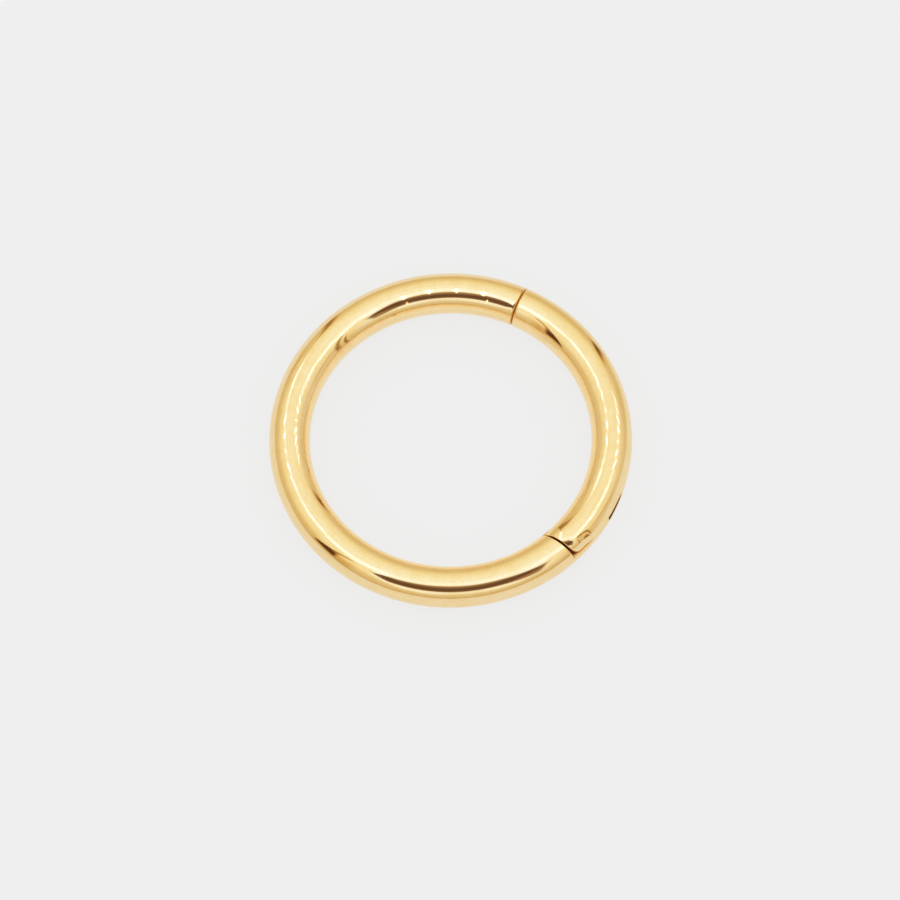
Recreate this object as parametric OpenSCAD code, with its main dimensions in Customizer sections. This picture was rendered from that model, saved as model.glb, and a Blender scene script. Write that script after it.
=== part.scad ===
// Hinged segment piercing ring: a round-wire ring with a segment that swings out to open it.
// The ring lies flat. Its axis is +Z and the closed ring is centred on the origin.

/* [Ring] */
// Thickness of the round wire
wire_d = 1.6; // [1.4:0.1:2]
// Inside diameter of the closed ring
inside_d = 11; // [10:0.5:13]
// Direction of the closing seam, in degrees from +X
seam_azimuth = 63.2; // [55:0.1:75]
// Width of the closing seam
seam_gap = 0.06; // [0.04:0.01:0.1]

/* [Hinge] */
// Direction of the hinge pin, in degrees from +X
pin_azimuth = -44.3; // [-46:0.1:-42]
// Distance of the pin outside the middle of the wire
pin_offset = 0.25; // [0.15:0.01:0.3]
// Diameter of the hinge pin
pin_d = 0.5; // [0.4:0.05:0.6]
// Direction of the straight shoulder that the segment closes against, in degrees from +X
shoulder_azimuth = -37.5; // [-42:0.5:-35]
// Gap between the shoulder and the segment's ears
shoulder_gap = 0.055; // [0.04:0.005:0.1]
// Width of the slots that the tongue and the catch tab sit in
slot_w = 0.44; // [0.36:0.02:0.6]
// Clearance on each side of the tongue, the tab and the pin
fit = 0.02; // [0.015:0.005:0.03]
// Where the tongue ends on the outer wall, in degrees from +X
tongue_end = -31.3; // [-34:0.1:-30]
// Where the slot behind the tongue ends on the outer wall, in degrees from +X
slot_end = -21.5; // [-24:0.1:-20]
// Diameter of the disc that the slot's curved floor is part of
saw_d = 8; // [8:0.5:10]
// Gap between the swinging tip of the tongue and the slot's floor
tip_gap = 0.06; // [0.04:0.01:0.1]

/* [Catch] */
// Distance of the catch's floor outside the middle of the wire, at the seam
catch_offset = 0.12; // [0.1:0.01:0.2]
// Length of the catch tab along the wire
tab_length = 0.8; // [0.5:0.05:0.9]

/* [Hidden] */
$fn = 96;

wire_r = wire_d / 2;
ring_r = (inside_d + wire_d) / 2;
slot_half = slot_w / 2;
tongue_half = slot_half - fit;

// Cutters reach this far past the wire, and the arcs run on this far in degrees before they are cut.
over = 1;
over_angle = 9;

function polar(r, a) = [r * cos(a), r * sin(a)];

pin_r = ring_r + pin_offset;
pin_at = polar(pin_r, pin_azimuth);

// The ears end in a knuckle round the pin that runs smoothly into the lip of the slot.
lip_r = ring_r + sqrt(wire_r * wire_r - slot_half * slot_half);
knuckle_r = lip_r - pin_r;
shoulder_distance = knuckle_r + shoulder_gap;
tongue_r = norm(polar(ring_r + wire_r, tongue_end) - pin_at);
hinge_reach = norm(polar(ring_r, tongue_end + over_angle) - pin_at) + wire_d;

// The catch's floor is an arc about the pin, so the tab slides out along it.
catch_r = norm(polar(ring_r + catch_offset, seam_azimuth) - pin_at);
tab_angle = tab_length / ring_r * 180 / PI;
slot_angle = (tab_length + seam_gap) / ring_r * 180 / PI;

// The slot's floor runs from the outer wall to a point on the inner wall that the tongue's tip clears.
inner_r = ring_r - wire_r;
tip_sweep = tongue_r + tip_gap;
floor_turn = acos((inner_r * inner_r + pin_r * pin_r - tip_sweep * tip_sweep) / (2 * inner_r * pin_r));
floor_from = polar(inner_r, pin_azimuth + floor_turn);
floor_to = polar(ring_r + wire_r, slot_end);
floor_chord = floor_to - floor_from;
saw_drop = sqrt(saw_d * saw_d - floor_chord * floor_chord) / 2;
saw_at = (floor_from + floor_to) / 2 + [floor_chord[1], -floor_chord[0]] / norm(floor_chord) * saw_drop;

gold = [0.93, 0.80, 0.47];

// Round wire bent along the ring from one direction to another
module wire_arc(from, to) {
    rotate([0, 0, from])
        rotate_extrude(angle = to - from)
            translate([ring_r, 0])
                circle(r = wire_r);
}

// Upright disc about a point, as tall as asked
module disc(at, r, h = wire_d + 2 * over) {
    translate([at[0], at[1], -h / 2])
        cylinder(r = r, h = h);
}

// Block across the wire that starts at a plane through the ring's axis and runs on along the ring
module slab(azimuth, start, length, h = wire_d + 2 * over) {
    rotate([0, 0, azimuth])
        translate([ring_r - wire_r - over, start, -h / 2])
            cube([wire_d + 2 * over, length, h]);
}

// Everything on the segment's side of the shoulder plane, out past the end of the uncut arc
module beyond_shoulder(distance, h = wire_d + 2 * over) {
    translate([pin_at[0], pin_at[1], 0])
        rotate([0, 0, shoulder_azimuth])
            translate([-hinge_reach, -distance, -h / 2])
                cube([2 * hinge_reach, hinge_reach + distance, h]);
}

// Room for the two ears: all that lies beyond the shoulder except the flat tongue with its round tip
module ear_room() {
    difference() {
        beyond_shoulder(shoulder_distance);
        intersection() {
            beyond_shoulder(shoulder_distance + over, 2 * tongue_half);
            disc(pin_at, tongue_r);
        }
    }
}

// Socket for the catch tab, open at the seam and at the outer wall
module catch_socket() {
    difference() {
        slab(seam_azimuth + slot_angle, -over - tab_length, over + tab_length, 2 * slot_half);
        disc(pin_at, catch_r);
    }
}

// Long arc of the ring, with the hinge tongue at one end and the catch socket at the other
module ring_body() {
    color(gold)
        translate([0, 0, wire_r])
            difference() {
                wire_arc(seam_azimuth - over_angle, 360 + tongue_end + over_angle);
                slab(seam_azimuth, seam_gap / 2 - 2 * over, 2 * over);
                ear_room();
                catch_socket();
                disc(pin_at, pin_d / 2 + fit);
            }
}

// What is cut from the hinge end to leave a knuckle outside the pin and a straight end inside it
module knuckle_cut() {
    difference() {
        slab(pin_azimuth, -2 * over, 2 * over);
        disc(pin_at, knuckle_r, wire_d + 4 * over);
        translate([pin_at[0], pin_at[1], 0])
            rotate([0, 0, shoulder_azimuth])
                translate([-wire_d - over, -knuckle_r, -wire_r - 2 * over])
                    cube([wire_d + over, 2 * knuckle_r, wire_d + 4 * over]);
    }
}

// What is cut from the free end to leave the thin catch tab
module tab_cut() {
    difference() {
        slab(seam_azimuth, -seam_gap / 2, 2 * over);
        difference() {
            slab(seam_azimuth + tab_angle, -2 * over, 2 * over, 2 * tongue_half);
            disc(pin_at, catch_r + fit);
        }
    }
}

// Short arc that swings out, forked at the hinge and with the catch tab at its free end
module hinged_segment() {
    color(gold)
        translate([0, 0, wire_r])
            difference() {
                wire_arc(pin_azimuth - over_angle, seam_azimuth + over_angle);
                knuckle_cut();
                tab_cut();
                disc(saw_at, saw_d / 2, 2 * slot_half);
                disc(pin_at, pin_d / 2);
            }
}

// Pin fixed in the ears and running in the tongue, with both ends finished flush with the wire
module hinge_pin() {
    color(gold)
        translate([0, 0, wire_r])
            intersection() {
                wire_arc(pin_azimuth - over_angle, pin_azimuth + over_angle);
                disc(pin_at, pin_d / 2);
            }
}

ring_body();
hinged_segment();
hinge_pin();
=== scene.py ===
import math
import bmesh
import bpy
import numpy as np
from mathutils import Matrix, Vector


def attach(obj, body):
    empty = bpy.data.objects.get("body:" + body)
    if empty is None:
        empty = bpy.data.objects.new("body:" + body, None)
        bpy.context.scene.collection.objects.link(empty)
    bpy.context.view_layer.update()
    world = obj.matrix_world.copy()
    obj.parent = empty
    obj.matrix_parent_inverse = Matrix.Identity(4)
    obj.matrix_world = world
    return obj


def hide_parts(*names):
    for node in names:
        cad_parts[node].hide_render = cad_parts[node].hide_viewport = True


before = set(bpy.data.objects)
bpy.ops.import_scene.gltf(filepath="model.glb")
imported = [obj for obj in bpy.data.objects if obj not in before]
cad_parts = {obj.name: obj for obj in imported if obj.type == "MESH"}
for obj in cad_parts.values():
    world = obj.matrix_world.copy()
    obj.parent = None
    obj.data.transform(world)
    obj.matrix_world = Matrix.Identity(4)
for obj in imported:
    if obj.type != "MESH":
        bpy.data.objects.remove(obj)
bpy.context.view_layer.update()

mm = 0.001
print("frame loaded:", sorted(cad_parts))

# Sizes in millimetres and degrees, the same as in the part's source unless a comment says otherwise
wire = {
    "ringRadius": 6.3,      # middle of the wire
    "wireRadius": 0.8,
    "stepsRound": 128,
    "degreesPerStep": 1.0,
    "joinStep": 0.3,        # degrees between the swept wire and a worked end
    "mergeWithin": 0.0005,  # closes the sweep along its length
}
hinge = {
    "pinAzimuth": -44.3,
    "pinOffset": 0.25,
    "pinRadius": 0.25,
    "shoulderAzimuth": -37.5,
    "seenGap": 0.085,       # as wide as the shoulder's seam looks; the solids leave 0.055
    "slotHalf": 0.22,
    "tongueHalf": 0.20,     # the catch tab's too
    "seenHalf": 0.21,       # as close as the polished tongue looks
    "tongueEnd": -31.3,
    "slotEnd": -21.5,
    "sawRadius": 4.0,
    "tipGap": 0.06,
    "boreGap": 0.02,
    "edge": 0.014,          # rounding of the worked edges
    "lip": 0.04,            # rounding of the ring's and the ears' meeting edges
    "boreEdge": 0.006,
    "boreInset": 0.02,      # the ear's bore is hidden this far under the pin's polished end
    "dubLength": 0.46,      # how far back from its end the ear is polished lower
    "dubDrop": 0.075,
    "dubPower": 2.2,
    "dubMost": 1.2,         # how far that goes on, in lengths
    "dubFade": 0.55,        # how far past the pin that runs out
}
catch = {
    "seamAzimuth": 63.2,
    "seenAzimuth": 63.0,    # where the middle of the seam is seen
    "seamGap": 0.003,       # as narrow as the polished seam looks; the solids leave 0.06
    "offset": 0.12,
    "tabLength": 0.8,
    "fit": 0.02,
    "edge": 0.02,
    "lip": 0.10,
}

ringRadius, wireRadius = wire["ringRadius"], wire["wireRadius"]


def polar(radius, degrees):
    return radius * math.cos(math.radians(degrees)), radius * math.sin(math.radians(degrees))


pinReach = ringRadius + hinge["pinOffset"]
pinAt = polar(pinReach, hinge["pinAzimuth"])
lipRadius = ringRadius + math.sqrt(wireRadius ** 2 - hinge["slotHalf"] ** 2)
knuckleRadius = lipRadius - pinReach
tongueRadius = math.dist(polar(ringRadius + wireRadius, hinge["tongueEnd"]), pinAt)
catchRadius = math.dist(polar(ringRadius + catch["offset"], catch["seamAzimuth"]), pinAt)
tabAngle = math.degrees(catch["tabLength"] / ringRadius)
socketAngle = math.degrees((catch["tabLength"] + 2 * catch["seamGap"]) / ringRadius)


def sawCentre():
    inner, sweep = ringRadius - wireRadius, tongueRadius + hinge["tipGap"]
    turn = math.degrees(math.acos((inner ** 2 + pinReach ** 2 - sweep ** 2) / (2 * inner * pinReach)))
    a = np.array(polar(inner, hinge["pinAzimuth"] + turn))
    b = np.array(polar(ringRadius + wireRadius, hinge["slotEnd"]))
    chord = b - a
    length = np.hypot(*chord)
    drop = math.sqrt(hinge["sawRadius"] ** 2 - length ** 2 / 4)
    return (a + b) / 2 + np.array([chord[1], -chord[0]]) / length * drop


sawAt = sawCentre()


# Solids as distance fields, negative inside. Heights are from the middle of the wire.
def roundedMax(a, b, radius):               # what both solids share, with a rounded edge
    rounding = np.hypot(np.maximum(a + radius, 0), np.maximum(b + radius, 0))
    return np.minimum(np.maximum(a, b), -radius) + rounding


def smooth(x, low, high):
    k = np.clip((x - low) / (high - low), 0, 1)
    return k * k * (3 - 2 * k)


def wireField(x, y, z):
    return np.hypot(np.hypot(x, y) - ringRadius, z) - wireRadius


def pinDistance(x, y):
    return np.hypot(x - pinAt[0], y - pinAt[1])


def pastPlane(x, y, azimuth):               # distance past a plane through the ring's axis
    c, s = polar(1, azimuth)
    return y * c - x * s


def shoulderFrame(x, y):                    # out along the shoulder, and across it towards the segment
    c, s = polar(1, hinge["shoulderAzimuth"])
    x, y = x - pinAt[0], y - pinAt[1]
    return x * c + y * s, y * c - x * s


def earDub(x, y):                           # how much the ear's end is polished below the wire
    out, across = shoulderFrame(x, y)
    reach = np.where(out < 0, -across, np.where(across < 0, np.hypot(out, across), out))
    back = np.clip(1 - (knuckleRadius - reach) / hinge["dubLength"], 0, hinge["dubMost"])
    return hinge["dubDrop"] * back ** hinge["dubPower"] * (1 - smooth(across, 0, hinge["dubFade"]))


def earField(x, y, z):
    return wireField(x, y, z) + earDub(x, y)


def segmentHinge(x, y, z):
    out, across = shoulderFrame(x, y)
    knuckle = np.minimum(pinDistance(x, y) - knuckleRadius, np.maximum(out, -knuckleRadius - across))
    end = np.minimum(knuckle, -pastPlane(x, y, hinge["pinAzimuth"]))
    body = roundedMax(earField(x, y, z), end, hinge["lip"])
    slotFloor = hinge["sawRadius"] - np.hypot(x - sawAt[0], y - sawAt[1])
    body = roundedMax(body, np.minimum(hinge["slotHalf"] - np.abs(z), slotFloor), hinge["edge"])
    return roundedMax(body, hinge["pinRadius"] - hinge["boreInset"] - pinDistance(x, y), hinge["boreEdge"])


def ringHinge(x, y, z):
    shoulder = shoulderFrame(x, y)[1] + knuckleRadius + hinge["seenGap"]
    tongue = roundedMax(np.abs(z) - hinge["seenHalf"], pinDistance(x, y) - tongueRadius, hinge["edge"])
    outer = wireField(x, y, z)
    body = np.minimum(roundedMax(outer, shoulder, hinge["lip"]), roundedMax(outer, tongue, hinge["edge"]))
    return roundedMax(body, hinge["pinRadius"] + hinge["boreGap"] - pinDistance(x, y), hinge["boreEdge"])


def segmentCatch(x, y, z):
    face = pastPlane(x, y, catch["seenAzimuth"]) + catch["seamGap"] / 2
    floorGap = catchRadius + catch["fit"] - pinDistance(x, y)
    tab = roundedMax(np.abs(z) - hinge["tongueHalf"], floorGap, catch["edge"])
    tab = roundedMax(tab, pastPlane(x, y, catch["seamAzimuth"] + tabAngle), catch["edge"])
    outer = wireField(x, y, z)
    return np.minimum(roundedMax(outer, face, catch["lip"]), roundedMax(outer, tab, catch["edge"]))


def ringCatch(x, y, z):
    face = catch["seamGap"] / 2 - pastPlane(x, y, catch["seenAzimuth"])
    socket = np.minimum(hinge["slotHalf"] - np.abs(z), pinDistance(x, y) - catchRadius)
    socket = np.minimum(socket, -pastPlane(x, y, catch["seamAzimuth"] + socketAngle))
    return roundedMax(roundedMax(wireField(x, y, z), face, catch["lip"]), socket, catch["edge"])


# Meshing of a field over a grid that is bent along the wire
def gradientOf(field, points, step=0.001):
    parts = []
    for axis in range(3):
        shift = np.zeros(3)
        shift[axis] = step
        parts.append((field(*(points + shift).T) - field(*(points - shift).T)) / (2 * step))
    return np.stack(parts, -1)


def settle(field, points, rounds=4):        # moves points on to the surface, by short steps
    longest, flattest = 0.03, 0.05
    for _ in range(rounds):
        slope = gradientOf(field, points)
        move = (field(*points.T) / np.maximum((slope ** 2).sum(-1), flattest))[:, None] * slope
        size = np.linalg.norm(move, axis=-1, keepdims=True)
        points = points - move * np.minimum(1, longest / np.maximum(size, 1e-9))
    return points


# turns and cross are the grid's lines, openAt is the turn where the piece runs on as plain wire.
# Each cell that the surface passes through gets a point, and each grid edge that it crosses gets a face.
def fieldMesh(field, turns, cross, openAt):
    grid = (turns, cross, cross)
    t, q, h = np.meshgrid(np.radians(turns), cross, cross, indexing="ij")
    value = field((ringRadius + q) * np.cos(t), (ringRadius + q) * np.sin(t), h)
    value = np.where(np.abs(value) < 1e-7, 1e-7, value)
    n = np.array(value.shape) - 1
    total, count = np.zeros((*n, 3)), np.zeros(n)
    crossings = []
    for axis in range(3):
        a = [slice(None)] * 3
        b = [slice(None)] * 3
        a[axis], b[axis] = slice(0, -1), slice(1, None)
        va, vb = value[tuple(a)], value[tuple(b)]
        cut = (va < 0) != (vb < 0)
        at = np.argwhere(cut)
        share = va[cut] / (va[cut] - vb[cut])
        place = np.stack([grid[k][at[:, k]] for k in range(3)], -1)
        place[:, axis] += share * (grid[axis][at[:, axis] + 1] - grid[axis][at[:, axis]])
        others = [k for k in range(3) if k != axis]
        for i in (-1, 0):
            for j in (-1, 0):
                cell = at.copy()
                cell[:, others[0]] += i
                cell[:, others[1]] += j
                good = np.all((cell >= 0) & (cell < n), axis=1)
                key = tuple(cell[good].T)
                np.add.at(total, key, place[good])
                np.add.at(count, key, 1)
        crossings.append((axis, others, at, va[cut] < 0))
    used = count > 0
    number = np.full(n, -1)
    number[used] = np.arange(used.sum())
    spots = total[used] / count[used][:, None]
    faces = []
    for axis, others, at, startsInside in crossings:
        good = np.all((at[:, others] >= 1), axis=1) & np.all(at[:, others] < n[others], axis=1)
        at, startsInside = at[good], startsInside[good]
        corners = []
        for i, j in ((-1, -1), (0, -1), (0, 0), (-1, 0)):
            cell = at.copy()
            cell[:, others[0]] += i
            cell[:, others[1]] += j
            corners.append(number[tuple(cell.T)])
        quad = np.stack(corners, -1)
        flip = startsInside if axis == 1 else ~startsInside
        quad[flip] = quad[flip][:, ::-1]
        faces.append(quad)
    faces = np.concatenate(faces)
    border = np.argwhere(used)[:, 0] == (0 if openAt == turns[0] else n[0] - 1)
    turn, reach = np.radians(np.where(border, openAt, spots[:, 0])), ringRadius + spots[:, 1]
    points = settle(field, np.stack([reach * np.cos(turn), reach * np.sin(turn), spots[:, 2]], -1))
    return evenNet(field, points, faces, border), faces, border


# Evens the net out and puts it back on the surface
def evenNet(field, points, faces, border, rounds=3):
    ends = np.concatenate([faces, np.roll(faces, 1, axis=1)]).reshape(-1)
    nexts = np.concatenate([np.roll(faces, -1, axis=1), faces]).reshape(-1)
    degree = np.bincount(ends, minlength=len(points))
    for _ in range(rounds):
        sums = [np.bincount(ends, points[nexts, k], len(points)) for k in range(3)]
        mean = np.stack(sums, -1) / degree[:, None]
        points = np.where(border[:, None], points, (points + mean) / 2)
        points = settle(field, points, 3)
    return points


def loopAngle(points):                      # direction round the wire
    return np.arctan2(points[:, 2], np.hypot(points[:, 0], points[:, 1]) - ringRadius)


def zipLoops(a, angleA, b, angleB):         # triangles between two loops of point numbers
    a, angleA = a[np.argsort(angleA)], np.sort(angleA)
    b, angleB = b[np.argsort(angleB)], np.sort(angleB)
    angleA = np.append(angleA, angleA[0] + 2 * math.pi)
    angleB = np.append(angleB, angleB[0] + 2 * math.pi)
    i, j, faces = 0, 0, []
    while i < len(a) or j < len(b):
        nextA = angleA[i + 1] if i < len(a) else math.inf
        nextB = angleB[j + 1] if j < len(b) else math.inf
        if nextA <= nextB:
            faces.append((a[i % len(a)], a[(i + 1) % len(a)], b[j % len(b)]))
            i += 1
        else:
            faces.append((a[i % len(a)], b[(j + 1) % len(b)], b[j % len(b)]))
            j += 1
    return np.array(faces).tolist()


# Node helpers
def addSockets(tree, way, kinds):
    for name, kind in kinds.items():
        tree.interface.new_socket(name, in_out=way, socket_type="NodeSocket" + kind)


class Nodes:
    def __init__(self, tree):
        self.tree = tree

    def add(self, kind, **settings):
        node = self.tree.nodes.new(kind)
        for key, value in settings.items():
            setattr(node, key, value)
        return node

    def put(self, socket, value):
        if isinstance(value, bpy.types.NodeSocket):
            self.tree.links.new(value, socket)
        else:
            socket.default_value = value

    def math(self, operation, *values):
        node = self.add("ShaderNodeMath", operation=operation)
        for socket, value in zip(node.inputs, values):
            self.put(socket, value)
        return node.outputs[0]

    def plus(self, a, b):
        return self.math("ADD", a, b)

    def minus(self, a, b):
        return self.math("SUBTRACT", a, b)

    def apart(self, a, b):
        return self.math("ABSOLUTE", self.minus(a, b))

    def times(self, *values):
        total = values[0]
        for value in values[1:]:
            total = self.math("MULTIPLY", total, value)
        return total

    def timesPlus(self, a, b, c):
        return self.math("MULTIPLY_ADD", a, b, c)

    def reach(self, x, y):
        return self.math("SQRT", self.plus(self.times(x, x), self.times(y, y)))

    def step(self, value, low, high, start=0.0, end=1.0):
        node = self.add("ShaderNodeMapRange", interpolation_type="SMOOTHSTEP")
        for socket, x in zip(node.inputs, (value, low, high, start, end)):
            self.put(socket, x)
        return node.outputs[0]

    def mix(self, factor, a, b, blend="MIX"):
        node = self.add("ShaderNodeMix", data_type="RGBA", blend_type=blend)
        self.put(node.inputs[0], factor)
        self.put(node.inputs[6], (*a, 1) if isinstance(a, tuple) else a)
        self.put(node.inputs[7], (*b, 1) if isinstance(b, tuple) else b)
        return node.outputs[2]

    def mixShader(self, factor, a, b):
        node = self.add("ShaderNodeMixShader")
        for socket, value in zip(node.inputs, (factor, a.outputs[0], b.outputs[0])):
            self.put(socket, value)
        return node.outputs[0]

    def ramp(self, value, stops, span=1.0):  # colours at places from 0 to span
        node = self.add("ShaderNodeValToRGB")
        self.put(node.inputs[0], self.math("DIVIDE", value, span))
        elements = node.color_ramp.elements
        while len(elements) < len(stops):
            elements.new(0.5)
        for element, (place, colour) in zip(elements, stops):
            element.position, element.color = place / span, (*colour, 1)
        return node.outputs[0]

    def split(self, vector):
        node = self.add("ShaderNodeSeparateXYZ")
        self.put(node.inputs[0], vector)
        return node.outputs

    def combine(self, *values):
        node = self.add("ShaderNodeCombineXYZ")
        for socket, value in zip(node.inputs, values):
            self.put(socket, value)
        return node.outputs[0]


# The plain wire between the worked ends is swept by geometry nodes
def wireTree():
    tree = bpy.data.node_groups.new("sweepWire", "GeometryNodeTree")
    addSockets(tree, "INPUT", {"Ring Radius": "Float", "Wire Radius": "Float", "From": "Float", "To": "Float",
                               "Steps Along": "Int", "Steps Round": "Int", "Finish": "Material"})
    addSockets(tree, "OUTPUT", {"Geometry": "Geometry"})
    make = Nodes(tree)
    given = make.add("NodeGroupInput").outputs
    grid = make.add("GeometryNodeMeshGrid")
    make.put(grid.inputs["Size X"], 1)
    make.put(grid.inputs["Size Y"], 1)
    make.put(grid.inputs["Vertices X"], make.plus(given["Steps Along"], 1))
    make.put(grid.inputs["Vertices Y"], make.plus(given["Steps Round"], 1))
    x, y, _ = make.split(make.add("GeometryNodeInputPosition").outputs[0])
    sweep = make.minus(given["To"], given["From"])
    turn = make.math("RADIANS", make.plus(given["From"], make.times(make.plus(x, 0.5), sweep)))
    around = make.times(y, 2 * math.pi)
    reach = make.plus(given["Ring Radius"], make.times(given["Wire Radius"], make.math("COSINE", around)))
    bent = make.combine(make.times(reach, make.math("COSINE", turn)),
                        make.times(reach, make.math("SINE", turn)),
                        make.times(given["Wire Radius"], make.math("SINE", around)))
    place = make.add("GeometryNodeSetPosition")
    make.put(place.inputs["Geometry"], grid.outputs["Mesh"])
    make.put(place.inputs["Position"], bent)
    merge = make.add("GeometryNodeMergeByDistance")
    make.put(merge.inputs["Distance"], wire["mergeWithin"])
    make.put(merge.inputs["Geometry"], place.outputs[0])
    real = make.add("GeometryNodeRealizeInstances")
    make.put(real.inputs[0], merge.outputs[0])
    coat = make.add("GeometryNodeSetMaterial")
    make.put(coat.inputs["Geometry"], real.outputs[0])
    make.put(coat.inputs["Material"], given["Finish"])
    make.put(make.add("NodeGroupOutput").inputs[0], coat.outputs[0])
    return tree


wireSweep = wireTree()


def sweptWire(start, end, finish):
    base = bpy.data.objects.new("wireSweep", bpy.data.meshes.new("wireSweep"))
    bpy.context.scene.collection.objects.link(base)
    modifier = base.modifiers.new("sweep", "NODES")
    modifier.node_group = wireSweep
    inputs = [item for item in wireSweep.interface.items_tree if item.in_out == "INPUT"]
    sockets = {item.name: item.identifier for item in inputs}
    steps = round((end - start) / wire["degreesPerStep"])
    for name, value in (("Ring Radius", ringRadius), ("Wire Radius", wireRadius), ("From", float(start)),
                        ("To", float(end)), ("Steps Along", steps), ("Steps Round", wire["stepsRound"]),
                        ("Finish", finish)):
        modifier[sockets[name]] = value
    bpy.context.view_layer.update()
    mesh = bpy.data.meshes.new_from_object(base.evaluated_get(bpy.context.evaluated_depsgraph_get()))
    points = np.zeros(len(mesh.vertices) * 3, np.float32)
    mesh.vertices.foreach_get("co", points)
    faces = np.zeros(len(mesh.loops), np.int32)
    mesh.loops.foreach_get("vertex_index", faces)
    base.modifiers.remove(modifier)
    bpy.data.objects.remove(base)
    return points.reshape(-1, 3).astype(float), faces.reshape(-1, 4).tolist()


def nearTurn(points, turn):
    turns = np.degrees(np.arctan2(points[:, 1], points[:, 0]))
    return np.abs((turns - turn + 180) % 360 - 180) < 1e-3


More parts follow.
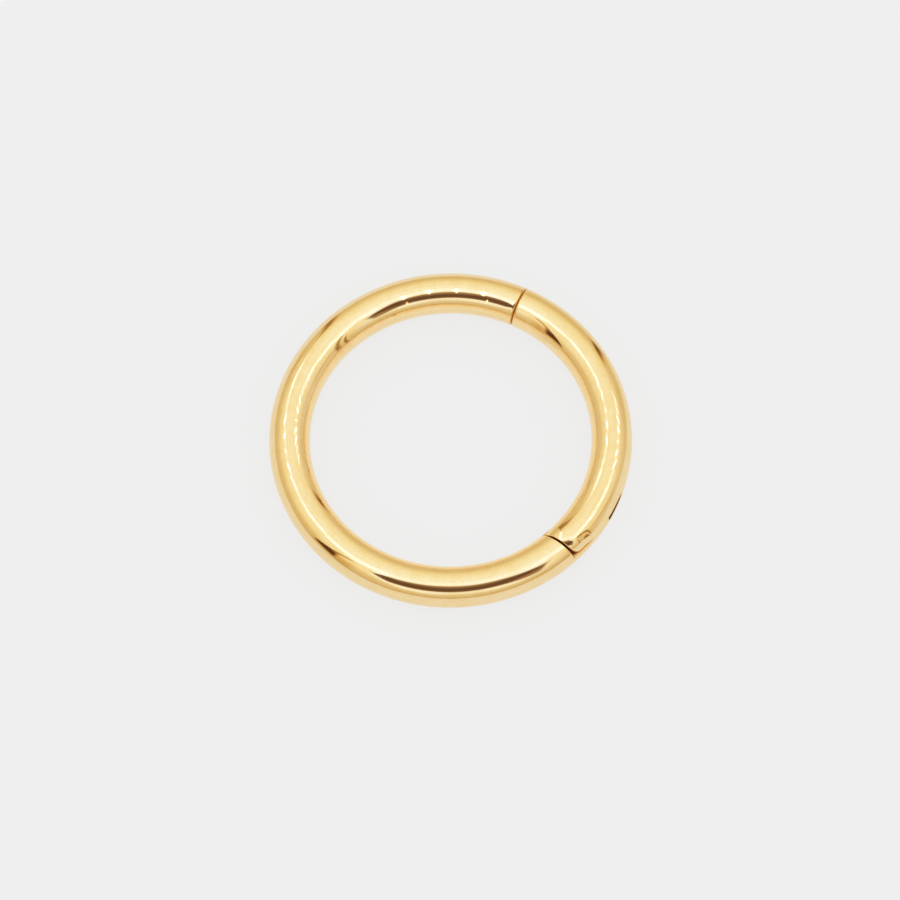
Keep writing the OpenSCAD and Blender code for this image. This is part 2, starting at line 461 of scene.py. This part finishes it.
# Light: a bright tent with a dark camera opening, seen only in the polish. Everything else gets soft white
# light. Places are in degrees: fall from straight up, azimuth anticlockwise from the right, and right and
# ahead as on a flat chart with straight up in its middle. A fade goes from none at its first place to full
# at its second.
tent = {
    "soft": (1.0, 1.0, 1.0),
    "tones": [            # by fall, as the gold shows them
        (0, (1.00, 1.09, 1.15)),
        (15, (1.00, 1.07, 1.04)),
        (25, (0.98, 1.00, 0.91)),
        (38, (0.96, 0.95, 0.78)),
        (50, (0.93, 0.89, 0.69)),
        (58, (0.88, 0.80, 0.56)),
        (66, (0.77, 0.66, 0.41)),
        (76, (0.72, 0.61, 0.38)),
        (86, (0.72, 0.61, 0.39)),
        (94, (0.80, 0.72, 0.51)),
    ],
    "tonesTo": 100.0,
    "pale": (0.95, 1.03, 1.19),
    "lifts": [            # paler stretches of wall
        {"azimuth": 0, "half": 30, "from": 50, "to": 94, "amount": 0.14},
        {"azimuth": -172, "half": 18, "from": 34, "to": 44, "amount": 0.22},
        {"azimuth": -46, "half": 18, "from": 50, "to": 72, "amount": 0.34},
        {"azimuth": 28, "half": 34, "from": 48, "to": 78, "amount": 0.16, "colour": (0.90, 0.90, 0.93)},
        {"azimuth": 95, "half": 48, "from": 44, "to": 66, "amount": 0.34, "colour": (0.82, 0.74, 0.44)},
        {"azimuth": 150, "half": 35, "from": 56, "to": 82, "amount": 0.06},
        {"azimuth": -90, "half": 60, "from": 58, "to": 80, "amount": 0.12},
        {"azimuth": -8, "half": 25, "from": 82, "to": 96, "amount": 0.58},
    ],
    "strips": [           # rows of lamps left and right
        {"right": -23.4, "lean": -0.02, "half": 10.5, "from": -18, "to": 41, "strength": 0.18, "dot": 0.58},
        {"right": 33.0, "lean": 0.10, "half": 9.5, "from": -18, "to": 36, "strength": 0.17, "dot": 0.85},
    ],
    "dots": {"every": 2.7, "from": -16, "lit": (0.45, 0.95), "drift": 0.28, "driftEvery": 3.3},
    "lamp": (1.25, 1.45, 2.15),
    "spark": (2.2, 2.7, 4.0),
    "band": (1.04, 1.15, 1.30),
    "glows": [            # light round the opening
        {"colour": "lamp", "fades": [("ahead", 8, -6), ("ahead", -36, -20), ("beside", 30, 17),
                                     ("beside", 8, 22, 0.34, 0.72)]},
        {"colour": "band", "fades": [("fall", 73, 60), ("ahead", -20, -34), ("beside", 44, 28),
                                     ("beside", 4, 22, 0.52, 0.84)]},
    ],
    "glowMiddle": 2.5,    # beside is how far right or left of here
    "corners": [          # dark seams at the tent's corners
        {"azimuth": 117, "slope": 0.0, "half": 4.0, "from": 56, "to": 89, "depth": 0.68},
        {"azimuth": 117.6, "slope": -1.1, "half": 3.8, "from": 54, "to": 62, "depth": 0.66},
        {"azimuth": 122, "slope": 0.5, "half": 2.6, "from": 70, "to": 92, "depth": 0.35},
        {"azimuth": 48.5, "slope": 0.1, "half": 4.6, "from": 68, "to": 96, "depth": 0.84},
        {"azimuth": -145, "slope": 0.0, "half": 8.0, "from": 54, "to": 86, "depth": 0.30},
        {"azimuth": -20.5, "slope": -0.12, "half": 3.2, "from": 36, "to": 84, "depth": 0.74},
        {"azimuth": -26.5, "slope": -0.10, "half": 1.8, "from": 50, "to": 90, "depth": 0.75},
        {"azimuth": -17.5, "slope": 1.2, "half": 5.5, "from": 57, "to": 74, "depth": 0.42},
    ],
    "cornerMiddle": 60.0,  # the fall that a corner slopes about
    "blurs": {            # share of the half width that is full, then how each end's fade lies about it
        "lift": (0.3, (-4, 8), (4, -4)),
        "strip": (0.2, (0, 12), (0, -6)),
        "dots": (0.4, (0, 8), (0, -5)),
        "corner": (0.1, (-8, 10), (5, -5)),
    },
    "wedge": {"top": -16.3, "topSlope": 0.125, "foot": 7.1, "footSlope": 0.72},
    "line": {"right": -29.0, "ahead": -18.0, "slope": 0.30},
    "edgeFall": 87.0,     # where the tent meets the floor
    "darks": [            # a wedge, a thin line that leads to it, and the floor's edge
        {"depth": 1.0, "fades": [("underTop", 1.4, -1.4), ("overFoot", -2.5, 2.5), ("right", -38, -54),
                                 ("fall", 85, 76)]},
        {"depth": 0.66, "fades": [("offLine", 2.8, 0.8), ("right", -50, -44), ("right", -30, -34)]},
        {"depth": 0.36, "fades": [("offEdge", 4.5, 1.0), ("ahead", 10, -30)]},
    ],
    "shade": [            # what any dark part of the tent leaves of it: warm first, then brown
        (0.0, (1, 1, 1)),
        (0.25, (0.93, 0.83, 0.66)),
        (0.5, (0.74, 0.56, 0.38)),
        (0.75, (0.42, 0.27, 0.17)),
        (1.0, (0.15, 0.075, 0.05)),
    ],
    "opening": [          # by fall
        (12, (0.66, 0.48, 0.28)),
        (22, (0.36, 0.24, 0.14)),
        (34, (0.142, 0.073, 0.050)),
        (44, (0.155, 0.083, 0.052)),
        (55, (0.42, 0.27, 0.14)),
    ],
    "openingTo": 60.0,
    "openingFades": [("near", -12, -21.5), ("pastRim", 2, -2.6), ("right", -30, -28.5), ("right", 44, 40),
                     ("azimuth", -137.4, -134.9)],
    "fallsBack": [(13, 0.45), (34, 1.8)],      # right of here the near edge falls back this steeply
    "rim": (16, 42, 51.8, 62.5),               # between these places on the right the far edge widens
    "openingShade": 0.45,
    "openingPower": 1.7,
}


def fadesOf(make, places, fades):
    return make.times(*(make.step(places[name], *fade) for name, *fade in fades))


def patchOf(make, apart, half, along, low, high, blur):
    core, lowFade, highFade = tent["blurs"][blur]
    return make.times(make.step(apart, half, half * core),
                      make.step(along, low + lowFade[0], low + lowFade[1]),
                      make.step(along, high + highFade[0], high + highFade[1]))


def chartPlaces(make):
    x, y, z = make.split(make.add("ShaderNodeTexCoord").outputs["Generated"])
    fall = make.math("DEGREES", make.math("ARCCOSINE", z))
    azimuth = make.math("DEGREES", make.math("ARCTAN2", y, x))
    level = make.math("SQRT", make.plus(make.times(x, x), make.plus(make.times(y, y), 1e-9)))
    right = make.math("DIVIDE", make.times(x, fall), level)
    ahead = make.math("DIVIDE", make.times(y, fall), level)
    near = ahead
    for start, steepness in tent["fallsBack"]:
        near = make.timesPlus(make.math("MAXIMUM", make.minus(right, start), 0.0), steepness, near)
    wedge, line = tent["wedge"], tent["line"]
    offLine = make.timesPlus(make.minus(right, line["right"]), -line["slope"],
                             make.minus(ahead, line["ahead"]))
    return {
        "fall": fall, "azimuth": azimuth, "right": right, "ahead": ahead, "near": near,
        "beside": make.apart(right, tent["glowMiddle"]),
        "pastRim": make.minus(fall, make.step(right, *tent["rim"])),
        "underTop": make.minus(ahead, make.timesPlus(right, wedge["topSlope"], wedge["top"])),
        "overFoot": make.minus(ahead, make.timesPlus(right, wedge["footSlope"], wedge["foot"])),
        "offLine": make.math("ABSOLUTE", offLine),
        "offEdge": make.apart(fall, tent["edgeFall"]),
    }


def brightTent(make, places):
    fall, right, ahead = places["fall"], places["right"], places["ahead"]
    colour = make.ramp(fall, tent["tones"], tent["tonesTo"])
    for lift in tent["lifts"]:
        apart = make.math("PINGPONG", make.minus(places["azimuth"], lift["azimuth"]), 180.0)
        here = patchOf(make, apart, lift["half"], fall, lift["from"], lift["to"], "lift")
        colour = make.mix(make.times(here, lift["amount"]), colour, lift.get("colour", tent["pale"]))

    dots = tent["dots"]
    wave = 2 * math.pi / dots["every"]
    for strip in tent["strips"]:
        apart = make.apart(right, make.timesPlus(ahead, strip["lean"], strip["right"]))
        glow = patchOf(make, apart, strip["half"], ahead, strip["from"], strip["to"], "strip")
        colour = make.mix(make.times(glow, strip["strength"]), colour, tent["lamp"])
        rows = make.math("SINE", make.times(ahead, wave))
        drift = make.math("SINE", make.timesPlus(ahead, wave / dots["driftEvery"], strip["right"]))
        rows = make.timesPlus(drift, dots["drift"], rows)
        here = patchOf(make, apart, strip["half"] * strip["dot"], ahead, dots["from"], strip["to"], "dots")
        colour = make.mix(make.times(here, make.step(rows, *dots["lit"])), colour, tent["spark"])

    for glow in tent["glows"]:
        colour = make.mix(fadesOf(make, places, glow["fades"]), colour, tent[glow["colour"]])
    return colour


def darkTent(make, places, colour):
    light = 1.0           # what the dark parts leave, before the shade tones
    for corner in tent["corners"]:
        slope = make.times(make.minus(places["fall"], tent["cornerMiddle"]), corner["slope"])
        apart = make.apart(places["azimuth"], make.plus(slope, corner["azimuth"]))
        here = patchOf(make, apart, corner["half"], places["fall"], corner["from"], corner["to"], "corner")
        light = make.times(light, make.minus(1.0, make.times(here, corner["depth"])))
    for dark in tent["darks"]:
        here = make.times(fadesOf(make, places, dark["fades"]), dark["depth"])
        light = make.times(light, make.minus(1.0, here))
    opening = fadesOf(make, places, tent["openingFades"])
    light = make.times(light, make.minus(1.0, make.times(opening, tent["openingShade"])))
    colour = make.mix(1.0, colour, make.ramp(make.minus(1.0, light), tent["shade"]), "MULTIPLY")
    deep = make.ramp(places["fall"], tent["opening"], tent["openingTo"])
    return make.mix(make.math("POWER", opening, tent["openingPower"]), colour, deep)


def buildWorld():
    world = bpy.data.worlds.new("lightTent")
    bpy.context.scene.world = world
    world.use_nodes = True
    world.node_tree.nodes.clear()
    world.cycles.sampling_method = "NONE"
    make = Nodes(world.node_tree)
    places = chartPlaces(make)
    polish, soft = make.add("ShaderNodeBackground"), make.add("ShaderNodeBackground")
    make.put(polish.inputs[0], darkTent(make, places, brightTent(make, places)))
    make.put(soft.inputs[0], (*tent["soft"], 1))
    glossyRay = make.add("ShaderNodeLightPath").outputs["Is Glossy Ray"]
    make.put(make.add("ShaderNodeOutputWorld").inputs[0], make.mixShader(glossyRay, soft, polish))


buildWorld()
bpy.context.scene.view_settings.view_transform = "Standard"

# Narrow lamps aimed at the far wall of the ring's hole, where they glint at the edges of the dark opening
lamps = {
    "distance": 45.0,     # mm from the wire
    "part": 5.0,          # each is a column of parts this many degrees tall
    "spread": 16.0,
    "shine": 0.08,
    "stars": {"widths": (0.12, 0.28, 0.45, 0.28, 0.12), "colour": (1.0, 1.0, 1.0)},
    "sparks": {"widths": (0.16, 0.28, 0.16), "colour": (1.0, 0.82, 0.5)},
    "at": [               # degrees along and round the wire, then right and ahead of straight up from there
        ("stars", 106.3, 110.0, 10.5, -11.5),
        ("stars", 96.8, 107.6, 3.9, -9.5),
        ("stars", 86.6, 109.0, -2.1, -10.5),
        ("stars", 76.1, 108.8, -8.4, -10.4),
        ("sparks", 105.7, 126.2, 19.6, -43.3),
        ("sparks", 74.3, 126.4, -19.7, -43.7),
    ],
}


def buildLamps():
    for kind, turn, around, right, ahead in lamps["at"]:
        x, y = polar(ringRadius + wireRadius * math.cos(math.radians(around)), turn)
        place = Vector((x, y, wireRadius + wireRadius * math.sin(math.radians(around))))
        fall = math.hypot(right, ahead)
        side = math.sin(math.radians(fall)) / fall
        middle = Vector((side * right, side * ahead, math.cos(math.radians(fall))))
        along = Vector((-y, x, 0)).cross(middle).cross(middle).normalized()
        widths = lamps[kind]["widths"]
        for k, width in enumerate(widths):
            toPart = math.radians((k - (len(widths) - 1) / 2) * lamps["part"])
            toLamp = Matrix.Rotation(toPart, 3, along) @ middle
            data = bpy.data.lights.new(kind, "AREA")
            data.shape = "RECTANGLE"
            data.color = lamps[kind]["colour"]
            data.size = width * mm
            data.size_y = lamps["distance"] * math.radians(lamps["part"]) * mm
            data.energy = lamps["shine"] * data.size * data.size_y
            data.spread = math.radians(lamps["spread"])
            lamp = bpy.data.objects.new(kind, data)
            lamp.visible_camera = lamp.visible_diffuse = False
            basis = Matrix((along, toLamp.cross(along), toLamp)).transposed()
            lamp.matrix_world = Matrix.Translation((place + toLamp * lamps["distance"]) * mm) @ basis.to_4x4()
            bpy.context.scene.collection.objects.link(lamp)


buildLamps()
print("light tent ready")

# Camera where the photograph was taken from
camera = {
    "tilt": 0.42143,      # radians from straight down
    "roll": -0.0263,
    "distance": 29.3905,  # ring radii
    "scale": 161.1104,    # pixels per ring radius
    "picture": 900,       # pixels across
    "sensor": 36,
    "shiftRight": 0.000197,
    "shiftUp": 0.002476,
}


def buildCamera():
    tilt, roll, distance = camera["tilt"], camera["roll"], camera["distance"]
    back = np.array([0, -math.sin(tilt), math.cos(tilt)])
    right = np.array([1.0, 0, 0])
    up = np.cross(back, right)
    data = bpy.data.cameras.new("camera")
    data.sensor_width = camera["sensor"]
    data.lens = camera["sensor"] * distance * camera["scale"] / camera["picture"]
    data.clip_start, data.clip_end = 0.001, 10
    shot = bpy.data.objects.new("camera", data)
    bpy.context.scene.collection.objects.link(shot)
    place = (back - right * camera["shiftRight"] - up * camera["shiftUp"]) * distance
    turnedRight = right * math.cos(roll) + up * math.sin(roll)
    basis = Matrix((turnedRight, np.cross(back, turnedRight), back)).transposed()
    middle = np.array([0, 0, wireRadius * mm])
    shot.matrix_world = Matrix.Translation(place * ringRadius * mm + middle) @ basis.to_4x4()
    bpy.context.scene.camera = shot


buildCamera()
print("camera placed")

# Floor: a matt pale board to the eye, and a glossy one where the gold reflects it at a low angle
floor = {
    "half": 1.0,          # metres
    "colour": (0.1, 0.1, 0.1),
    "glow": 0.766,        # mostly lit from below, so shadows stay faint
    "sheen": 0.12,
    "gloss": 0.2,
    "glossyRight": 1.0,   # how much more it shines behind the ring on the right, and in the ring's hole
    "glossyHole": 0.9,
    "rightAzimuth": 46.0,
    "rightFade": (36.0, 18.0),
    "rightFrom": (1.0, 1.4),               # ring radii
    "holeFrom": (1.0, 0.6),
    "holeMirror": (1.16, 1.0, 0.72),       # painted warm light: gold light from all round warms what the gold mirrors there
    # painted warm light on the board's glow in the hole, seen only in the gold
    "holeLight": (1.04, 1.0, 0.89),
}


def buildFloor():
    half = floor["half"]
    mesh = bpy.data.meshes.new("floor")
    corners = [(-half, -half, 0), (half, -half, 0), (half, half, 0), (-half, half, 0)]
    mesh.from_pydata(corners, [], [(0, 1, 2, 3)])
    material = bpy.data.materials.new("paleBoard")
    material.use_nodes = True
    make = Nodes(material.node_tree)
    board, mirror = material.node_tree.nodes["Principled BSDF"], make.add("ShaderNodeBsdfGlossy")
    x, y, _ = make.split(make.add("ShaderNodeTexCoord").outputs["Object"])
    reach = make.math("DIVIDE", make.reach(x, y), ringRadius * mm)
    off = make.apart(make.math("DEGREES", make.math("ARCTAN2", y, x)), floor["rightAzimuth"])
    onRight = make.times(make.step(off, *floor["rightFade"]), make.step(reach, *floor["rightFrom"]),
                         floor["glossyRight"])
    hole = make.step(reach, *floor["holeFrom"])
    gloss = make.timesPlus(hole, floor["glossyHole"], make.plus(floor["gloss"], onRight))
    glossyRay = make.add("ShaderNodeLightPath").outputs["Is Glossy Ray"]
    low = make.times(make.add("ShaderNodeFresnel").outputs[0], glossyRay, gloss)
    # painted warm light in the ring's hole, on the board's glow and its mirror, seen only by the gold
    light = make.mix(make.times(hole, glossyRay), (1.0, 1.0, 1.0), floor["holeLight"])
    for key, value in (("Base Color", (*floor["colour"], 1)), ("Roughness", 1), ("Specular IOR Level", 0),
                       ("Emission Color", light), ("Emission Strength", floor["glow"])):
        make.put(board.inputs[key], value)
    make.put(mirror.inputs["Roughness"], floor["sheen"])
    make.put(mirror.inputs["Color"], make.mix(hole, (1.0, 1.0, 1.0), floor["holeMirror"]))
    make.put(material.node_tree.nodes["Material Output"].inputs[0], make.mixShader(low, board, mirror))
    mesh.materials.append(material)
    plane = bpy.data.objects.new("floor", mesh)
    bpy.context.scene.collection.objects.link(plane)


buildFloor()
print("floor laid")

# Gold
gold = {
    "colour": (0.965, 0.755, 0.42),
    "outside": (1.0, 0.985, 0.94),         # painted reflection tint of the outer wall, and of the wall round the hole
    "inside": (1.0, 1.015, 1.06),
    "paler": (1.012, 1.03, 1.10),          # how far the mottled tone strays either way
    "richer": (0.985, 0.965, 0.89),
    "gapShadeColour": (0.80, 0.47, 0.17),      # painted shade in the narrow gaps, brown and then darker with depth
    "gapDeepestShadeColour": (0.42, 0.19, 0.065),
    "roughness": 0.04,
    "cutRoughness": 0.22,
    "secondRoughness": 0.34,               # added where gold is itself seen in gold or in the floor
    "waves": 0.8,         # long unevenness of the polish
    "ripple": 0.28,       # short unevenness
    "grain": 1.3,
    "marks": 1.0,         # along the wire
    "scratches": 1.4,
}
polish = {                # lengths in mm
    "waves": {"scale": 1.1, "detail": 1.0, "height": 0.0040},
    "ripple": {"scale": 2.6, "detail": 1.5, "height": 0.011},
    "grain": {"scale": 9.0, "detail": 2.0, "height": 0.00030},
    "marks": {"scale": 1.0, "detail": 2.0, "height": 0.00055},
    "drawnReach": 1.2,    # how fast the unevenness changes along the wire
    "marksAlong": 2.2,
    "marksRound": 9.0,
    "scratchTilts": [(0.5, 1.3), (-0.9, 1.0), (1.9, 1.6)],   # radians from along the wire, noise scale
    "scratchStretch": (0.5, 6.0),
    "scratchPatches": (0.9, 1.0),          # noise scale and detail, as in clouds, tones and streaks
    "scratchWidth": 0.012,
    "scratchDepth": 0.00012,
    "scratchHaze": 0.05,
    "scratched": (0.06, 0.16),             # noise values where there are none and all
    "clouds": (0.8, 3.0),
    "haze": (-0.05, 0.25, 0.0, 0.02),      # noise values, and how much haze they give
    "tones": [(3.2, 2.0), (13.0, 1.0)],
    "streaks": (1.0, 2.0),
    "streakAlong": 9.0,
    "streakRound": 14.0,
    "streakShare": 0.8,
    "toneRange": 0.26,
}


def polishGroup():        # the polish of round gold wire, from a place in metres
    tree = bpy.data.node_groups.new("polishedWire", "ShaderNodeTree")
    addSockets(tree, "INPUT", {"Place": "Vector", "Seed": "Float", "Waves": "Float", "Ripple": "Float",
                               "Grain": "Float", "Marks": "Float", "Scratches": "Float"})
    addSockets(tree, "OUTPUT", {"Height": "Float", "Haze": "Float", "Tone": "Float", "Inside": "Float"})
    make = Nodes(tree)
    given, out = make.add("NodeGroupInput").outputs, make.add("NodeGroupOutput").inputs
    seed = given["Seed"]
    x, y, z = (make.times(side, 1 / mm) for side in make.split(given["Place"]))
    turn = make.math("ARCTAN2", y, x)
    reach = make.minus(make.reach(x, y), ringRadius)
    around = make.math("ARCTAN2", make.minus(z, wireRadius), reach)

    def noise(place, scale, detail, w=seed):
        node = make.add("ShaderNodeTexNoise", noise_dimensions="4D")
        for key, value in (("Vector", place), ("W", w), ("Scale", scale), ("Detail", detail)):
            make.put(node.inputs[key], value)
        return make.minus(node.outputs[0], 0.5)

    def circle(angle, radius):
        return make.times(make.math("COSINE", angle), radius), make.times(make.math("SINE", angle), radius)

    # coordinates that run along the wire and round it without a seam
    flat = make.combine(x, y, z)
    drawn = make.combine(*circle(turn, polish["drawnReach"]), reach)
    level = make.plus(z, seed)
    roundX, roundY = circle(around, polish["marksRound"])
    bent = make.combine(*circle(turn, polish["marksAlong"]), roundX)
    across = make.plus(roundY, seed)
    height = 0.0
    for name, place, w in (("Waves", drawn, level), ("Ripple", drawn, level), ("Grain", drawn, level),
                           ("Marks", bent, across)):
        kind = polish[name.lower()]
        here = make.times(noise(place, kind["scale"], kind["detail"], w), kind["height"], given[name])
        height = make.plus(height, here)

    # fine scratches: thin lines where a stretched noise passes through its middle
    lines = 0.0
    long, short = polish["scratchStretch"]
    for k, (tilt, scale) in enumerate(polish["scratchTilts"]):
        c, s = math.cos(tilt), math.sin(tilt)
        along = make.plus(make.times(turn, ringRadius * c), make.times(around, wireRadius * s))
        aside = make.minus(make.times(around, wireRadius * c), make.times(turn, ringRadius * s))
        node = make.add("ShaderNodeTexNoise", noise_dimensions="3D")
        place = make.combine(make.times(along, long), make.times(aside, short), make.plus(seed, 7.0 * k))
        for key, value in (("Vector", place), ("Scale", scale), ("Detail", 0)):
            make.put(node.inputs[key], value)
        thin = make.step(make.apart(node.outputs[0], 0.5), polish["scratchWidth"], 0.0)
        patches = noise(flat, *polish["scratchPatches"], make.plus(seed, 3.1 * k + 1))
        lines = make.plus(lines, make.times(thin, make.step(patches, *polish["scratched"])))
    lines = make.times(lines, given["Scratches"])
    make.put(out["Height"], make.minus(height, make.times(lines, polish["scratchDepth"])))
    clouds = make.step(noise(flat, *polish["clouds"]), *polish["haze"])
    make.put(out["Haze"], make.plus(clouds, make.times(lines, polish["scratchHaze"])))

    streaks = make.combine(make.times(turn, polish["streakAlong"]), make.times(around, polish["streakRound"]))
    tone = make.times(noise(streaks, *polish["streaks"]), polish["streakShare"])
    for scale, detail in polish["tones"]:
        tone = make.plus(tone, noise(flat, scale, detail))
    make.put(out["Tone"], make.step(tone, -polish["toneRange"], polish["toneRange"]))
    make.put(out["Inside"], make.timesPlus(make.math("COSINE", around), -0.5, 0.5))
    return tree


polishTree = polishGroup()


def strayed(way):
    return tuple(min(c * k, 1) for c, k in zip(gold["colour"], gold[way]))


def goldFinish(name, seed, grain=1.0, marks=1.0):
    material = bpy.data.materials.new(name)
    material.use_nodes = True
    make = Nodes(material.node_tree)
    shader = material.node_tree.nodes["Principled BSDF"]
    group = make.add("ShaderNodeGroup", node_tree=polishTree)
    make.put(group.inputs["Place"], make.add("ShaderNodeTexCoord").outputs["Object"])
    for key, value in (("Seed", seed), ("Waves", gold["waves"]), ("Ripple", gold["ripple"]),
                       ("Grain", gold["grain"] * grain), ("Marks", gold["marks"] * marks),
                       ("Scratches", gold["scratches"])):
        make.put(group.inputs[key], value)
    cut = make.add("ShaderNodeAttribute", attribute_name="cutShadeMask").outputs["Fac"]
    # painted reflection: warmer towards the outer wall, paler towards the hole
    wall = make.mix(group.outputs["Inside"], gold["outside"], gold["inside"])
    tone = make.mix(group.outputs["Tone"], strayed("paler"), strayed("richer"))
    tone = make.mix(1.0, tone, wall, "MULTIPLY")
    # painted shade: deeper in the cuts and gaps the gold turns brown, then dark; the same mask also roughens
    # them
    tone = make.mix(make.step(cut, 0.0, 0.5), tone, gold["gapShadeColour"])
    tone = make.mix(make.step(cut, 0.5, 1.0), tone, gold["gapDeepestShadeColour"])
    glossyRay = make.add("ShaderNodeLightPath").outputs["Is Glossy Ray"]
    haze = make.plus(group.outputs["Haze"], gold["roughness"])
    haze = make.timesPlus(glossyRay, gold["secondRoughness"], haze)
    haze = make.timesPlus(cut, gold["cutRoughness"] - gold["roughness"], haze)
    bump = make.add("ShaderNodeBump")
    make.put(bump.inputs["Distance"], mm)
    make.put(bump.inputs["Height"], group.outputs["Height"])
    for key, value in (("Metallic", 1), ("Base Color", tone), ("Roughness", haze),
                       ("Normal", bump.outputs[0])):
        make.put(shader.inputs[key], value)
    return material


goldRing = goldFinish("goldRing", seed=2.3)
goldSegment = goldFinish("goldSegment", seed=11.7)
goldPin = goldFinish("goldPin", seed=23.1, grain=1.3, marks=0.2)
print("gold mixed")

# Pieces. A worked end has the turns that its net spans, from the plain wire to a little past the metal, the
# surface that its depth is measured from, and layers of painted shade in its cuts and gaps: a share, and the
# depths where that starts and is full.
net = {
    "crossStep": 0.0244,  # mm
    "crossReach": 0.86,   # mm either way from the middle of the wire
    "turnStep": 0.22,     # degrees
}
# painted shade in the hinge's slots and seams, and in the closing seam, growing with depth
hingeShadeLayers = [(0.5, 0.002, 0.012), (0.5, 0.012, 0.16)]
seamShadeLayers = [(0.375, 0.0008, 0.012)]
segmentPiece = {
    "first": {"field": segmentHinge, "turns": (-52.6, -19.4), "skin": earField, "shadeLayers": hingeShadeLayers},
    "last": {"field": segmentCatch, "turns": (61.4, 70.8), "skin": wireField, "shadeLayers": seamShadeLayers},
}
ringPiece = {
    "first": {"field": ringCatch, "turns": (62.8, 72.6), "skin": wireField, "shadeLayers": seamShadeLayers},
    "last": {"field": ringHinge, "turns": (-53.6, -29.2), "skin": wireField, "shadeLayers": hingeShadeLayers},
}


def joinPiece(name, points, faces, normals, cutShades, finish):
    normals = normals / np.maximum(np.linalg.norm(normals, axis=-1, keepdims=True), 1e-9)
    mesh = bpy.data.meshes.new(name)
    mesh.from_pydata(((points + (0, 0, wireRadius)) * mm).tolist(), [], faces)
    shell = bmesh.new()
    shell.from_mesh(mesh)
    bmesh.ops.recalc_face_normals(shell, faces=shell.faces)
    shell.to_mesh(mesh)
    shell.free()
    mesh.polygons.foreach_set("use_smooth", [True] * len(mesh.polygons))
    mesh.attributes.new("cutShadeMask", "FLOAT", "POINT").data.foreach_set("value", cutShades.astype(np.float32))
    mesh.materials.append(finish)
    mesh.normals_split_custom_set_from_vertices(normals.tolist())
    mesh.update()
    piece = bpy.data.objects.new(name, mesh)
    bpy.context.scene.collection.objects.link(piece)
    print(name, len(mesh.vertices), "points", sum(len(face) - 2 for face in faces), "triangles")
    return piece


def buildPiece(name, shape, finish):
    first, last, join = shape["first"], shape["last"], wire["joinStep"]
    start, end = first["turns"][1], last["turns"][0]
    if end < start:
        end += 360
    points, faces = sweptWire(start + join, end - join, finish)
    allPoints, normals, cutShades = [points], [gradientOf(wireField, points, 0.01)], [np.zeros(len(points))]
    offset = len(points)
    reach = net["crossReach"]
    cross = np.linspace(-reach, reach, round(2 * reach / net["crossStep"]) + 1)
    for part, openAt, rimTurn in ((first, first["turns"][1], start + join),
                                  (last, last["turns"][0], end - join)):
        low, high = part["turns"]
        turns = np.linspace(low, high, round((high - low) / net["turnStep"]) + 1)
        netPoints, netFaces, border = fieldMesh(part["field"], turns, cross, openAt)
        seam, rim = np.flatnonzero(border), np.flatnonzero(nearTurn(points, rimTurn))
        faces += (netFaces + offset).tolist()
        faces += zipLoops(seam + offset, loopAngle(netPoints[seam]), rim, loopAngle(points[rim]))
        allPoints.append(netPoints)
        normals.append(gradientOf(part["field"], netPoints))
        # depth under the wire's surface, which sets the painted shade in the cuts and gaps
        depth = -part["skin"](*netPoints.T)
        cutShades.append(sum(share * smooth(depth, top, full) for share, top, full in part["shadeLayers"]))
        offset += len(netPoints)
    return joinPiece(name, np.concatenate(allPoints), faces, np.concatenate(normals),
                     np.concatenate(cutShades), finish)


segment = buildPiece("hinged_segment_polished", segmentPiece, goldSegment)
ring = buildPiece("ring_body_polished", ringPiece, goldRing)

pinPiece = {
    "sides": 64,
    "rings": 13,
    "clear": 0.002,       # between its shaft and the ears' bores
    "proud": 0.0004,      # how far its ends stand over the ears
    "drops": (0.003, 0.004, 0.02),         # below its end at the rim, under it and down the shaft
}


def pinTop(x, y):         # the ears' polished surface, carried on over the pin
    reach = np.hypot(x, y) - ringRadius
    top = np.sqrt(np.maximum((wireRadius - earDub(x, y)) ** 2 - reach ** 2, 0))
    return np.minimum(top + pinPiece["proud"], wireRadius)


def buildPin():
    sides, radius = pinPiece["sides"], hinge["pinRadius"]
    shaft = radius - hinge["boreInset"] - pinPiece["clear"]
    angle = np.linspace(0, 2 * math.pi, sides, endpoint=False)
    out = np.stack([np.cos(angle), np.sin(angle), 0 * angle], -1)

    def loop(reach, drop=0.0):
        x, y = pinAt[0] + reach * np.cos(angle), pinAt[1] + reach * np.sin(angle)
        return np.stack([x, y, pinTop(x, y) - drop], -1)

    loops = [loop(reach) for reach in np.linspace(0, radius, pinPiece["rings"])]
    loops[0] = loops[0][:1]
    normals = [gradientOf(earField, points) for points in loops] + [out] * len(pinPiece["drops"])
    loops += [loop(reach, drop) for reach, drop in zip((radius, shaft, shaft), pinPiece["drops"])]
    points, normals = np.concatenate(loops), np.concatenate(normals)
    mirror = (1, 1, -1)

    def belt(a, b):
        return [(a + k, b + k, b + (k + 1) % sides, a + (k + 1) % sides) for k in range(sides)]

    faces = []
    for tip in (0, len(points)):
        faces += [(tip, tip + 1 + k, tip + 1 + (k + 1) % sides) for k in range(sides)]
        for k in range(len(loops) - 2):
            faces += belt(tip + 1 + k * sides, tip + 1 + (k + 1) * sides)
    faces += belt(len(points) - sides, 2 * len(points) - sides)
    points, normals = np.concatenate([points, points * mirror]), np.concatenate([normals, normals * mirror])
    return joinPiece("hinge_pin_polished", points, faces, normals, np.zeros(len(points)), goldPin)


pin = buildPin()
for piece, body, node in ((ring, "ring", "ring_body"), (segment, "segment", "hinged_segment"),
                          (pin, "segment", "hinge_pin")):
    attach(piece, body)
    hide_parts(node)
